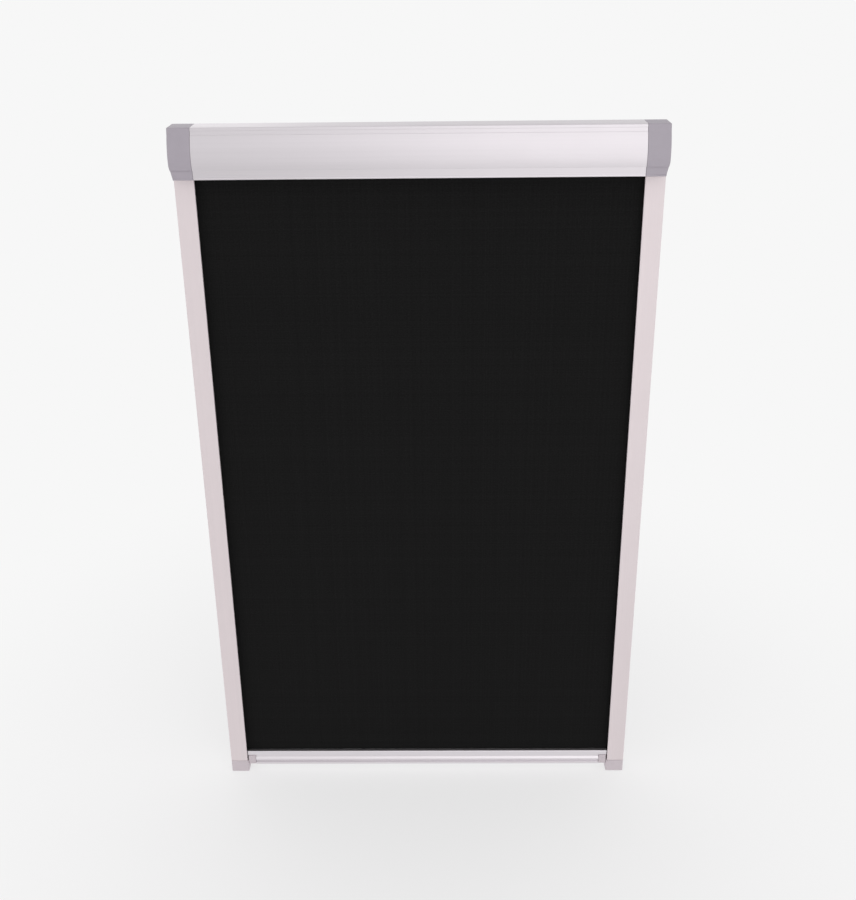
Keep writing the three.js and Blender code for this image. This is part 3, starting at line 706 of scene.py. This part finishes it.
@dataclass
class EdgeBreak:
    """Breaks a solid's sharp edges, as a tool or a mould leaves them, wherever the break has room.

    A stray is a triangle that lies off the solid's surface by more than a share of the width, or
    on it but turned over. The edges within reach of one stay sharp, further out at each try.
    """

    width: float
    sharp: float = math.radians(32)
    steps: int = 2
    tries: int = 12
    stretch: float = 20 * MM
    first_reach: float = 1.6
    more_reach: float = 0.8
    away_share: float = 0.8
    on_surface: float = 5 * WELD
    turned: float = -0.2

    def apply(self, node: str, name: str) -> bpy.types.Object:
        """Makes a copy of a node with its edges broken.

        Args:
            node: the node to copy.
            name: the new piece's name.

        Returns:
            The new piece.
        """
        shape = bench_copy(node)
        surface = self.measure(shape)
        edges = {side.index: tuple(corner.co.copy() for corner in side.verts)
                 for side in shape.edges if side.calc_face_angle(0.0) > self.sharp}
        mesh = bpy.data.meshes.new(name)
        shape.to_mesh(mesh)
        shape.free()
        mesh.shade_smooth()
        mesh.set_sharp_from_angle(angle=self.sharp)
        weight = mesh.attributes.new("bevel_weight_edge", "FLOAT", "EDGE")
        piece = placed(name, mesh)
        self.add_bevel(piece)
        for attempt in range(self.tries):
            for index in range(len(mesh.edges)):
                weight.data[index].value = 1.0 if index in edges else 0.0
            mesh.update()
            strays = self.strays(piece, surface)
            if not strays:
                break
            reach = (self.first_reach + self.more_reach * attempt) * self.width
            edges = {index: ends for index, ends in edges.items() if not self.near(ends, strays, reach)}
            weight = mesh.attributes["bevel_weight_edge"]
        log.info("%s: %d edges broken", name, len(edges))
        return settle(piece)

    def measure(self, shape: bmesh.types.BMesh) -> BVHTree:
        """Returns the surface to measure from, cut into short stretches because slivers measure badly.

        Args:
            shape: the solid, which stays whole.

        Returns:
            The surface of a cut copy.
        """
        cut = shape.copy()
        for axis in range(3):
            reach = [corner.co[axis] for corner in cut.verts]
            normal = Vector((axis == 0, axis == 1, axis == 2))
            for step in range(1, math.ceil((max(reach) - min(reach)) / self.stretch)):
                parts = [*cut.verts, *cut.edges, *cut.faces]
                place = normal * (min(reach) + step * self.stretch)
                bmesh.ops.bisect_plane(cut, geom=parts, dist=WELD, plane_co=place, plane_no=normal)
        surface = BVHTree.FromBMesh(cut)
        cut.free()
        return surface

    def add_bevel(self, piece: bpy.types.Object) -> None:
        """Adds the bevel that the weights steer, and joins the corners that it leaves double.

        Args:
            piece: the piece.
        """
        bevel = piece.modifiers.new("Broken edges", "BEVEL")
        bevel.width = self.width
        bevel.segments = self.steps
        bevel.limit_method = "WEIGHT"
        bevel.use_clamp_overlap = False
        bevel.loop_slide = False
        bevel.harden_normals = True
        piece.modifiers.new("Joined corners", "WELD").merge_threshold = WELD

    def strays(self, piece: bpy.types.Object, surface: BVHTree) -> list[Vector]:
        """Finds the triangles that stray.

        Args:
            piece: the piece with its bevel.
            surface: the solid's surface.

        Returns:
            Their corners.
        """
        graph = bpy.context.evaluated_depsgraph_get()
        graph.update()
        eased_piece = piece.evaluated_get(graph)
        mesh = eased_piece.to_mesh()
        mesh.calc_loop_triangles()
        found = []
        for triangle in mesh.loop_triangles:
            corners = [mesh.vertices[i].co.copy() for i in triangle.vertices]
            places = [sum(corners, Vector()) / 3] + [(corners[i - 1] + corners[i]) / 2 for i in range(3)]
            nearest = [surface.find_nearest(place) for place in places]
            away = max(hit[3] for hit in nearest) > self.away_share * self.width
            turned = (triangle.area > WELD * self.width and nearest[0][3] < self.on_surface
                      and nearest[0][1].dot(triangle.normal) < self.turned)
            if away or turned:
                found += corners
        eased_piece.to_mesh_clear()
        return found

    def near(self, ends: tuple[Vector, Vector], strays: list[Vector], reach: float) -> bool:
        """Tells whether an edge has a stray within reach."""
        return any(apart(stray, *ends) < reach for stray in strays)


def dressed(node: str, making: Making, edge: float, finish: Finish, body: str = "housing") -> None:
    """Copies a rigid node, breaks the copy's sharp edges to a width and finishes it."""
    finished(EdgeBreak(edge).apply(node, f"{node}_{making.value}"), finish, body, node)


def grown(name: str, tree: Tree, sizes: dict[str, object]) -> bpy.types.Object:
    """Makes a piece with a geometry tree.

    Args:
        name: the piece's name.
        tree: the geometry tree.
        sizes: a value for each of the tree's inputs.

    Returns:
        The piece, with a plain mesh.
    """
    piece = placed(name, bpy.data.meshes.new(name))
    modifier = piece.modifiers.new("Form", "NODES")
    modifier.node_group = tree
    for item in tree.interface.items_tree:
        if item.in_out == "INPUT" and item.name in sizes:
            modifier[item.identifier] = sizes[item.name]
    return settle(piece)


def close_tree(graph: Graph, given: Given, shape: Socket) -> Tree:
    """Moves a form to its place, makes its instances real and gives it its finish.

    Args:
        graph: the form's graph.
        given: what its inputs give.
        shape: the form, at the origin.

    Returns:
        The finished tree.
    """
    moved = graph.add("GeometryNodeTransform", {
        "Geometry": shape, "Translation": given["Place"], "Rotation": given["Turn"]})
    real = graph.add("GeometryNodeRealizeInstances", {0: moved.outputs[0]})
    coated = graph.add("GeometryNodeSetMaterial", {"Geometry": real.outputs[0], "Material": given["Finish"]})
    return give(graph, {"Mesh": coated.outputs[0]})


def swept(graph: Graph, path: Socket, section: Node) -> Socket:
    """Returns a section swept along a path, with its ends closed."""
    return graph.add("GeometryNodeCurveToMesh", {
        "Curve": path, "Profile Curve": section.outputs[0], "Fill Caps": True}).outputs[0]


def coil_tree() -> Tree:
    """Winds a wire into an open coil, from its radius, wire, length and turns.

    Returns:
        The tree.
    """
    wire_sides = 10
    graph, given = form([
        number("Radius"), number("Wire"), number("Length"), number("Turns"), whole("Steps")])
    path = graph.add("GeometryNodeCurveSpiral", {
        "Resolution": given["Steps"], "Rotations": given["Turns"], "Start Radius": given["Radius"],
        "End Radius": given["Radius"], "Height": given["Length"]})
    wire = graph.add("GeometryNodeCurvePrimitiveCircle", {
        "Resolution": wire_sides, "Radius": graph.times(given["Wire"], 0.5)})
    return close_tree(graph, given, swept(graph, path.outputs[0], wire))


def hung_cloth_tree() -> Tree:
    """Hangs cloth from its width, height and cell, with a faint wave that dies away at its edges.

    Returns:
        The tree.
    """
    shift, second_rate, second_slant, second_share = 1.3, 0.37, 4.0, 0.6
    graph, given = form([
        number("Width"), number("Height"), number("Cell"), number("Ripple"), number("Ripple Length")])

    def counted(size: str) -> Socket:
        """Returns how many corners the cells need along a size."""
        cells = graph.maths("DIVIDE", given[size], given["Cell"])
        return graph.maths("ADD", graph.maths("ROUND", cells), 1.0)

    grid = graph.add("GeometryNodeMeshGrid", {
        "Size X": given["Width"], "Size Y": given["Height"],
        "Vertices X": counted("Width"), "Vertices Y": counted("Height")})
    flat = graph.add("ShaderNodeSeparateXYZ", {0: graph.add("GeometryNodeInputPosition").outputs[0]}).outputs

    def faded(along: str, size: str) -> Socket:
        """Returns a share that is 1 in the middle of a size and 0 at its ends."""
        share = graph.maths("DIVIDE", flat[along], given[size])
        return graph.maths("COSINE", graph.times(share, math.pi))

    turns = graph.maths("DIVIDE", flat["X"], given["Ripple Length"])
    slant = graph.maths("DIVIDE", flat["Y"], given["Height"])
    first = graph.maths("SINE", graph.maths("MULTIPLY_ADD", turns, math.tau, shift))
    across = graph.maths("MULTIPLY_ADD", turns, second_rate * math.tau, graph.times(slant, second_slant))
    wave = graph.maths("MULTIPLY_ADD", graph.maths("SINE", across), second_share, first)
    free = graph.times(faded("X", "Width"), faded("Y", "Height"))
    lift = graph.times(given["Ripple"], graph.times(free, wave))
    inputs = {"Geometry": grid.outputs[0], "Offset": graph.joined(Z=lift)}
    return close_tree(graph, given, graph.add("GeometryNodeSetPosition", inputs).outputs[0])


def roll_tree() -> Tree:
    """Winds cloth in a spiral, from its radii, turns, thickness and width.

    Returns:
        The tree.
    """
    graph, given = form([
        number("Outer Radius"), number("Inner Radius"), number("Turns"), whole("Steps"),
        number("Thickness"), number("Width")])
    path = graph.add("GeometryNodeCurveSpiral", {
        "Resolution": given["Steps"], "Rotations": given["Turns"],
        "Start Radius": given["Outer Radius"], "End Radius": given["Inner Radius"], "Height": 0.0})
    level = graph.add("GeometryNodeSetCurveNormal", {"Curve": path.outputs[0]}, mode="Z_UP")
    strip = graph.add("GeometryNodeCurvePrimitiveQuadrilateral", {
        "Width": given["Thickness"], "Height": given["Width"]})
    return close_tree(graph, given, swept(graph, level.outputs[0], strip))


def pile_tree() -> Tree:
    """Plants upright strands on a woven backing, with a fixed seed for their lean and length.

    Returns:
        The tree.
    """
    strand_sides, tip_share, root_share, shortest = 3, 0.3, 0.5, 0.86
    lean_seed, height_seed = 1.0, 2.0
    graph, given = form([
        number("Width"), number("Length"), whole("Rows"), whole("Count"), number("Height"), number("Strand"),
        number("Lean"), number("Backing Width"), number("Backing"), whole("Seed")])
    grid = graph.add("GeometryNodeMeshGrid", {
        "Size X": given["Width"], "Size Y": given["Length"],
        "Vertices X": given["Rows"], "Vertices Y": given["Count"]})
    strand = graph.add("GeometryNodeMeshCone", {
        "Vertices": strand_sides, "Radius Top": graph.times(given["Strand"], tip_share),
        "Radius Bottom": graph.times(given["Strand"], root_share), "Depth": given["Height"]},
        fill_type="NGON")

    def varied(kind: str, bounds: Inputs, seed: float) -> Node:
        """Adds a random value for each strand, with a seed that comes on top of the strip's."""
        node = graph.add("FunctionNodeRandomValue", bounds, data_type=kind)
        return graph.feed(node, {"Seed": graph.maths("ADD", given["Seed"], seed)})

    lean = given["Lean"]
    less = graph.times(lean, -1.0)
    low, high = graph.joined(X=less, Y=less, Z=0.0), graph.joined(X=lean, Y=lean, Z=math.tau)
    turns = varied("FLOAT_VECTOR", {0: low, 1: high}, lean_seed)
    strands = graph.add("GeometryNodeInstanceOnPoints", {
        "Points": grid.outputs[0], "Instance": strand.outputs[0], "Rotation": turns.outputs[0]})
    heights = varied("FLOAT", {2: shortest, 3: 1.0}, height_seed)
    short = graph.joined(X=1.0, Y=1.0, Z=heights.outputs[1])
    sized = graph.add("GeometryNodeScaleInstances", {0: strands.outputs[0], "Scale": short})
    backing_size = graph.joined(X=given["Backing Width"], Y=given["Length"], Z=given["Backing"])
    half_down = graph.joined(Z=graph.times(given["Backing"], -0.5))
    backing = graph.add("GeometryNodeMeshCube", {"Size": backing_size})
    under = graph.add("GeometryNodeTransform", {"Geometry": backing.outputs[0], "Translation": half_down})
    whole_strip = graph.add("GeometryNodeJoinGeometry")
    for part in (under, sized):
        graph.feed(whole_strip, {0: part.outputs[0]})
    return close_tree(graph, given, whole_strip.outputs[0])


# The cyclic turn that takes a form made about Z to one about X: X goes to Y, Y to Z and Z to X.
ABOUT_X = (QUARTER, 0.0, QUARTER)


# Sub-assemblies


@dataclass
class Cassette:
    """The closed case at the head: two extrusions, moulded caps, screws and clips."""

    finishes: Finishes
    extrusion_edge: float = 0.2 * MM
    cap_edge: float = 0.25 * MM
    clip_edge: float = 0.15 * MM
    screw_edge: float = 0.1 * MM

    def build(self) -> None:
        """Builds the case's pieces."""
        for node in ("cassette_cover", "cassette_back_plate"):
            dressed(node, Making.DRAWN, self.extrusion_edge, self.finishes.cassette)
        for side in SIDES:
            self.build_end(side)

    def build_end(self, side: str) -> None:
        """Builds the cap, the clip and the screws at one end.

        Args:
            side: left or right.
        """
        dressed(f"end_cap_{side}", Making.MADE, self.cap_edge, self.finishes.cap)
        dressed(f"mounting_clip_{side}", Making.MADE, self.clip_edge, self.finishes.steel)
        for level in ("upper", "lower"):
            dressed(f"end_cap_screw_{side}_{level}", Making.MADE, self.screw_edge, self.finishes.steel)


@dataclass
class Roller:
    """The spring roller: its tube, plugs, pin and drive, and the cloth on it."""

    finishes: Finishes
    edge: float = 0.12 * MM
    cloth_thickness: float = 0.4 * MM
    turns: float = 2.25
    pitch: float = 0.7 * MM
    steps: int = 96
    spring_wire: float = 1.0 * MM
    spring_turns: float = 30.0
    spring_steps: int = 28

    def build(self) -> None:
        """Builds the roller's pieces."""
        tube, nylon, steel = self.finishes.tube, self.finishes.nylon, self.finishes.steel
        rigid = [
            ("roller_tube", "roller", tube), ("roller_spline", "roller", nylon),
            ("spring_drive_plug", "roller", nylon), ("idle_plug", "roller", nylon),
            ("idle_pin", "roller", steel), ("idle_bush", "housing", nylon),
            ("spring_shaft", "housing", steel), ("spring_anchor", "housing", nylon),
        ]
        for node, body, finish in rigid:
            dressed(node, Making.MADE, self.edge, finish, body)
        self.wind_spring()
        self.wind_cloth()

    def axis(self) -> Vector:
        """Returns the middle of the tube, which the roller turns about."""
        low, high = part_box("roller_tube")
        return (low + high) / 2

    def wind_spring(self) -> None:
        """Winds the torsion spring between the drive plug and the anchor."""
        low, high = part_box("torsion_spring")
        axis = self.axis()
        spring = grown("torsion_spring_wound", shared(coil_tree), {
            "Radius": (high.z - low.z - self.spring_wire) / 2, "Wire": self.spring_wire,
            "Length": high.x - low.x - self.spring_wire, "Turns": self.spring_turns,
            "Steps": self.spring_steps, "Turn": ABOUT_X,
            "Place": (low.x + self.spring_wire / 2, axis.y, axis.z)})
        finished(spring, self.finishes.steel, "housing", "torsion_spring")

    def wind_cloth(self) -> None:
        """Winds the cloth that stays on the roller when the blind is closed."""
        low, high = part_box("cloth_roll")
        axis = self.axis()
        outer = -axis.y
        inner = outer - self.turns * self.pitch
        roll = grown("cloth_roll_wound", shared(roll_tree), {
            "Outer Radius": outer, "Inner Radius": inner, "Turns": self.turns, "Steps": self.steps,
            "Thickness": self.cloth_thickness, "Width": high.x - low.x, "Turn": ABOUT_X,
            "Place": (0.0, axis.y, axis.z)})
        finished(roll, self.finishes.wound, "roller", "cloth_roll")


@dataclass
class Cloth:
    """The cloth that hangs between the roller and the bar."""

    finishes: Finishes
    cell: float = 6 * MM
    thickness: float = 0.4 * MM
    ripple: float = 0.18 * MM
    ripple_length: float = 0.21
    travel: float = 0.882
    sharp: float = math.radians(40)

    def build(self) -> None:
        """Builds the sheet."""
        low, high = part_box("cloth_panel")
        size = high - low
        piece = grown("cloth_panel_hung", shared(hung_cloth_tree), {
            "Width": size.x, "Height": size.z, "Cell": self.cell, "Ripple": self.ripple,
            "Ripple Length": self.ripple_length, "Place": tuple((low + high) / 2), "Turn": (QUARTER, 0, 0)})
        solid = piece.modifiers.new("Thickness", "SOLIDIFY")
        solid.thickness = self.thickness
        solid.offset = 0
        settle(piece)
        piece.data.shade_smooth()
        piece.data.set_sharp_from_angle(angle=self.sharp)
        finished(piece, self.finishes.cloth, "housing", "cloth_panel")
        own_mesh(piece)


@dataclass
class SideChannels:
    """The two channels, their pile strips and the caps at their feet."""

    finishes: Finishes
    edge: float = 0.2 * MM
    cap_edge: float = 0.3 * MM
    pile_width: float = 2.4 * MM
    backing: float = 0.8 * MM
    tip_gap: float = 1.4 * MM
    root: float = 0.1 * MM
    strand: float = 0.34 * MM
    lean: float = 0.05
    rows: int = 7
    spacing: float = 0.6 * MM

    def build(self) -> None:
        """Builds both sides."""
        for side in SIDES:
            dressed(f"side_channel_{side}", Making.DRAWN, self.edge, self.finishes.channel)
            dressed(f"channel_end_cap_{side}", Making.MADE, self.cap_edge, self.finishes.foot)
            for seed, face in enumerate(("front", "back")):
                self.plant(side, face, seed)

    def plant(self, side: str, face: str, seed: int) -> None:
        """Plants one pile strip on its backing.

        Args:
            side: left or right.
            face: front or back.
            seed: the strip's seed.
        """
        node = f"pile_strip_{side}_{face}"
        low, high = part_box(node)
        way = -1 if face == "front" else 1
        outer = low.y if way < 0 else high.y
        root = outer - way * (self.backing - self.root)
        length = high.z - low.z
        pile = grown(f"{node}_pile", shared(pile_tree), {
            "Width": self.pile_width, "Length": length, "Rows": self.rows,
            "Count": round(length / self.spacing), "Height": abs(root) - self.tip_gap, "Strand": self.strand,
            "Lean": self.lean, "Backing Width": high.x - low.x, "Backing": self.backing, "Seed": seed,
            "Place": ((low.x + high.x) / 2, root, (low.z + high.z) / 2), "Turn": (way * QUARTER, 0.0, 0.0)})
        finished(pile, self.finishes.pile, "housing", node)


@dataclass
class BottomBar:
    """The bar at the cloth's foot, its shoes and their brakes."""

    finishes: Finishes
    press: float = 0.8 * MM
    edge: float = 0.2 * MM
    shoe_edge: float = 0.25 * MM
    pad_edge: float = 0.12 * MM
    wire: float = 0.7 * MM
    spring_turns: float = 5.0
    spring_steps: int = 28

    def build(self) -> None:
        """Builds the bar and what it carries."""
        nylon = self.finishes.nylon
        dressed("bottom_bar", Making.DRAWN, self.edge, self.finishes.bar, "bar")
        dressed("hem_spline", Making.MADE, self.edge, nylon, "bar")
        for side in SIDES:
            dressed(f"end_shoe_{side}", Making.MADE, self.shoe_edge, self.finishes.foot, "bar")
            dressed(f"brake_pad_{side}", Making.MADE, self.pad_edge, nylon, f"{side}_brake")
            self.wind_spring(side)

    def wind_spring(self, side: str) -> None:
        """Winds the small spring that sits behind a pad.

        Args:
            side: left or right.
        """
        node = f"brake_spring_{side}"
        low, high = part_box(node)
        spring = grown(f"{node}_wound", shared(coil_tree), {
            "Radius": (high.z - low.z - self.wire) / 2, "Wire": self.wire,
            "Length": high.y - low.y - self.wire, "Turns": self.spring_turns,
            "Steps": self.spring_steps, "Turn": (-QUARTER, 0.0, 0.0),
            "Place": ((low.x + high.x) / 2, low.y + self.wire / 2, (low.z + high.z) / 2)})
        finished(spring, self.finishes.steel, "bar", node)
        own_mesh(spring)


@dataclass
class Softbox:
    """One large soft lamp."""

    name: str
    place: Triple
    width: float
    height: float
    power: float
    aim: Triple = (0.0, 0.0, -0.45)


@dataclass
class Studio:
    """The pale floor, the soft light and the camera."""

    floor_z: float = -0.9845
    floor_radius: float = 8.0
    floor_sides: int = 96
    floor_colour: Triple = linear(246, 245, 246)
    floor_roughness: float = 0.9
    floor_gloss: float = 0.2
    floor_glow: float = 0.62
    near: float = 0.15
    far: float = 1.1
    ambient: float = 0.75
    white: float = 0.93
    lens: float = 46.0
    camera_place: Triple = (27.407 * MM, -1447.528 * MM, 209.625 * MM)
    camera_turn: Triple = (65.86408, 0.58756, 0.54408)
    lamps: list[Softbox] = field(default_factory=lambda: [
        Softbox("Key softbox", (0.7, -2.05, 0.75), 1.8, 3.6, 12.5, aim=(0.1, 0.0, -0.05)),
        Softbox("Fill softbox", (-2.2, -1.6, 0.3), 1.6, 1.8, 6.0),
        Softbox("Back softbox", (-1.2, 2.2, 1.2), 1.8, 1.8, 4.0),
        Softbox("Low softbox", (0.8, -1.75, -0.93), 1.8, 1.5, 3.4, aim=(0.8, -1.75, 0.0)),
    ])

    def build(self) -> None:
        """Builds the floor, the world, the lamps and the camera."""
        self.lay_floor()
        self.light_world()
        for lamp in self.lamps:
            self.hang(lamp)
        self.set_camera()
        bpy.context.scene.view_settings.view_transform = "Standard"

    def white_share(self, graph: Graph, before_camera: Socket | float = 1.0) -> Socket:
        """Returns how white the background shows itself to a ray.

        Args:
            graph: the material's or the world's own graph.
            before_camera: the share for rays from the camera. It is 1 in gloss and through clear things.

        Returns:
            The share, which is 0 for the rays that only light things.
        """
        path = graph.add("ShaderNodeLightPath").outputs
        gloss = graph.maths("MAXIMUM", path["Is Glossy Ray"], path["Is Transmission Ray"])
        camera = graph.times(path["Is Camera Ray"], before_camera)
        return graph.maths("MAXIMUM", camera, gloss)

    def lay_floor(self) -> None:
        """Lays the floor, which fades to white away from the blind."""
        shape = bmesh.new()
        bmesh.ops.create_circle(shape, cap_ends=True, segments=self.floor_sides, radius=self.floor_radius)
        bmesh.ops.translate(shape, verts=shape.verts, vec=(0, 0, self.floor_z))
        mesh = bpy.data.meshes.new("floor")
        shape.to_mesh(mesh)
        shape.free()
        floor = placed("floor", mesh)
        material = bpy.data.materials.new("Floor paper")
        graph = fresh_graph(material)
        paper = graph.add("ShaderNodeBsdfPrincipled", {
            "Base Color": (*self.floor_colour, 1), "Roughness": self.floor_roughness,
            "Specular IOR Level": self.floor_gloss})
        white = graph.add("ShaderNodeEmission", {"Color": WHITE, "Strength": self.white})
        level = graph.scaled(graph.add("ShaderNodeTexCoord").outputs["Object"], (1.0, 1.0, 0.0))
        away = graph.add("ShaderNodeVectorMath", {0: level}, operation="LENGTH").outputs["Value"]
        fade = graph.add("ShaderNodeMapRange", {
            "Value": away, "From Min": self.near, "From Max": self.far, "To Min": self.floor_glow},
            interpolation_type="SMOOTHSTEP").outputs["Result"]
        mixed = graph.add("ShaderNodeMixShader", {
            0: self.white_share(graph, fade), 1: paper.outputs[0], 2: white.outputs[0]})
        graph.add("ShaderNodeOutputMaterial", {"Surface": mixed.outputs[0]})
        mesh.materials.append(material)

    def light_world(self) -> None:
        """Lights the blind evenly, with white behind it."""
        world = bpy.data.worlds.new("Studio")
        graph = fresh_graph(world)
        ambient = graph.add("ShaderNodeBackground", {"Color": WHITE, "Strength": self.ambient})
        white = graph.add("ShaderNodeBackground", {"Color": WHITE, "Strength": self.white})
        mixed = graph.add("ShaderNodeMixShader", {
            0: self.white_share(graph), 1: ambient.outputs[0], 2: white.outputs[0]})
        graph.add("ShaderNodeOutputWorld", {"Surface": mixed.outputs[0]})
        bpy.context.scene.world = world

    def hang(self, lamp: Softbox) -> None:
        """Hangs one lamp and aims it.

        Args:
            lamp: its sizes, place and power.
        """
        light = bpy.data.lights.new(lamp.name, "AREA")
        light.shape = "RECTANGLE"
        light.size = lamp.width
        light.size_y = lamp.height
        light.energy = lamp.power
        holder = placed(lamp.name, light)
        holder.location = lamp.place
        holder.rotation_euler = (Vector(lamp.aim) - Vector(lamp.place)).to_track_quat("-Z", "Y").to_euler()
        holder.visible_camera = False

    def set_camera(self) -> None:
        """Sets the camera where the photograph was taken from."""
        camera = bpy.data.cameras.new("Camera")
        camera.lens = self.lens
        holder = placed("Camera", camera)
        holder.location = self.camera_place
        holder.rotation_euler = tuple(math.radians(angle) for angle in self.camera_turn)
        bpy.context.scene.camera = holder


def main() -> None:
    """Builds the studio and every sub-assembly of the blind."""
    logging.basicConfig(level=logging.INFO, format="%(name)s: %(message)s")
    Studio().build()
    finishes = Finishes()
    for assembly in (Cassette(finishes), Roller(finishes), Cloth(finishes), SideChannels(finishes),
                     BottomBar(finishes)):
        assembly.build()
        log.info("%s is built", type(assembly).__name__)


if __name__ == "__main__":
    main()
